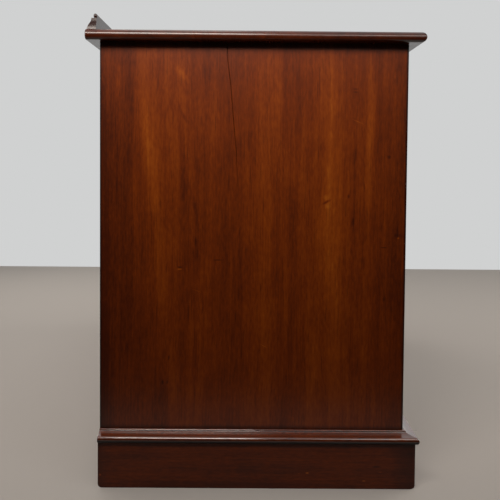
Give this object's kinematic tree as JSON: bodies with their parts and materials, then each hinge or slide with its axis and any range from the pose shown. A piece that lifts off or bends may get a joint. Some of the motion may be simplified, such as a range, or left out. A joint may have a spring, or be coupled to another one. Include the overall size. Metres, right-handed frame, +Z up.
{
  "type": "kneehole desk",
  "caption": "Polished mahogany kneehole desk with a rounded top edge, a low back gallery, pedestals on moulded plinths, and dovetailed drawers that slide out by turned knobs.",
  "frame": {"origin": "on the floor, in the middle of the desk's length and of its depth from the knobs to the back of the top", "axes": "+Z up, -Y towards the sitter (the drawers open along -Y), +X along the desk to the sitter's right"},
  "size_m": [1.219, 0.564, 0.7891],
  "materials": {
    "polished_mahogany": "french polished, satin gloss, red brown",
    "turned_mahogany": "turned and french polished",
    "plain_oak": "planed, unpolished",
    "stained_pine": "planed, stained brown",
    "lacquered_brass": "aged brass",
    "screw_steel": "dull steel"
  },
  "bodies": {
    "carcase": {"desk_top": "polished_mahogany", "gallery": "polished_mahogany", "left_end_panel": "polished_mahogany", "left_kneehole_panel": "polished_mahogany", "left_bottom_board": "plain_oak", "left_backboards": "stained_pine", "left_plinth": "polished_mahogany", "left_base_moulding": "polished_mahogany", "left_drawer_rails": "polished_mahogany", "left_drawer_runners": "plain_oak", "right_end_panel": "polished_mahogany", "right_kneehole_panel": "polished_mahogany", "right_bottom_board": "plain_oak", "right_backboards": "stained_pine", "right_plinth": "polished_mahogany", "right_base_moulding": "polished_mahogany", "right_drawer_rails": "polished_mahogany", "right_drawer_runners": "plain_oak", "kneehole_back_panel": "polished_mahogany", "kneehole_rail": "polished_mahogany", "centre_drawer_runners": "plain_oak", "top_rails": "polished_mahogany", "drawer_stops": "plain_oak", "top_fixing_screws": "screw_steel"},
    "left_frieze_drawer": {"left_frieze_drawer_front": "polished_mahogany", "left_frieze_drawer_box": "plain_oak", "left_frieze_drawer_knob": "turned_mahogany", "left_frieze_drawer_lock": "lacquered_brass"},
    "left_upper_drawer": {"left_upper_drawer_front": "polished_mahogany", "left_upper_drawer_box": "plain_oak", "left_upper_drawer_knob": "turned_mahogany", "left_upper_drawer_lock": "lacquered_brass"},
    "left_middle_drawer": {"left_middle_drawer_front": "polished_mahogany", "left_middle_drawer_box": "plain_oak", "left_middle_drawer_knob": "turned_mahogany", "left_middle_drawer_lock": "lacquered_brass"},
    "left_lower_drawer": {"left_lower_drawer_front": "polished_mahogany", "left_lower_drawer_box": "plain_oak", "left_lower_drawer_knob": "turned_mahogany", "left_lower_drawer_lock": "lacquered_brass"},
    "right_frieze_drawer": {"right_frieze_drawer_front": "polished_mahogany", "right_frieze_drawer_box": "plain_oak", "right_frieze_drawer_knob": "turned_mahogany", "right_frieze_drawer_lock": "lacquered_brass"},
    "right_upper_drawer": {"right_upper_drawer_front": "polished_mahogany", "right_upper_drawer_box": "plain_oak", "right_upper_drawer_knob": "turned_mahogany", "right_upper_drawer_lock": "lacquered_brass"},
    "right_middle_drawer": {"right_middle_drawer_front": "polished_mahogany", "right_middle_drawer_box": "plain_oak", "right_middle_drawer_knob": "turned_mahogany", "right_middle_drawer_lock": "lacquered_brass"},
    "right_lower_drawer": {"right_lower_drawer_front": "polished_mahogany", "right_lower_drawer_box": "plain_oak", "right_lower_drawer_knob": "turned_mahogany", "right_lower_drawer_lock": "lacquered_brass"},
    "centre_drawer": {"centre_drawer_front": "polished_mahogany", "centre_drawer_box": "plain_oak", "centre_drawer_knobs": "turned_mahogany", "centre_drawer_lock": "lacquered_brass"}
  },
  "joints": [
    {"name": "left_frieze_drawer_slide", "type": "slide", "parent": "carcase", "child": "left_frieze_drawer", "axis": [0, -1, 0], "range_m": [0, 0.36]},
    {"name": "left_upper_drawer_slide", "type": "slide", "parent": "carcase", "child": "left_upper_drawer", "axis": [0, -1, 0], "range_m": [0, 0.36]},
    {"name": "left_middle_drawer_slide", "type": "slide", "parent": "carcase", "child": "left_middle_drawer", "axis": [0, -1, 0], "range_m": [0, 0.36]},
    {"name": "left_lower_drawer_slide", "type": "slide", "parent": "carcase", "child": "left_lower_drawer", "axis": [0, -1, 0], "range_m": [0, 0.36]},
    {"name": "right_frieze_drawer_slide", "type": "slide", "parent": "carcase", "child": "right_frieze_drawer", "axis": [0, -1, 0], "range_m": [0, 0.36]},
    {"name": "right_upper_drawer_slide", "type": "slide", "parent": "carcase", "child": "right_upper_drawer", "axis": [0, -1, 0], "range_m": [0, 0.36]},
    {"name": "right_middle_drawer_slide", "type": "slide", "parent": "carcase", "child": "right_middle_drawer", "axis": [0, -1, 0], "range_m": [0, 0.36]},
    {"name": "right_lower_drawer_slide", "type": "slide", "parent": "carcase", "child": "right_lower_drawer", "axis": [0, -1, 0], "range_m": [0, 0.36]},
    {"name": "centre_drawer_slide", "type": "slide", "parent": "carcase", "child": "centre_drawer", "axis": [0, -1, 0], "range_m": [0, 0.36]}
  ]
}
